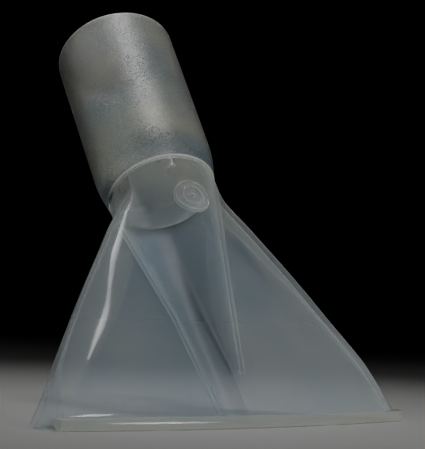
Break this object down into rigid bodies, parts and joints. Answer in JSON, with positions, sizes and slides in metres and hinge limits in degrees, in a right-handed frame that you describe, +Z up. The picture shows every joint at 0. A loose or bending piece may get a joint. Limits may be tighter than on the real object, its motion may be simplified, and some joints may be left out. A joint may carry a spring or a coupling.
{
  "type": "canning funnel",
  "caption": "Translucent plastic funnel: a round leaning spout tube above a flat flared body with a wide, curved slot mouth.",
  "frame": {"origin": "centre of the bounding box in plan, on the plane that the mouth stands on", "axes": "+Z up from the mouth to the spout, X across the mouth's width and square to the mirror plane, -Y the front with the half-cone and the gate mark; the spout leans back towards +Y"},
  "size_m": [0.1532, 0.1558, 0.1715],
  "materials": {
    "frosted_plastic": "fine frosted texture, translucent natural polypropylene",
    "clear_front": "polished, milky translucent natural polypropylene",
    "clear_back": "polished, milky translucent natural polypropylene"
  },
  "bodies": {
    "root": {"spout_tube": "frosted_plastic", "back_shell": "clear_back", "front_shell": "clear_front"}
  },
  "joints": []
}
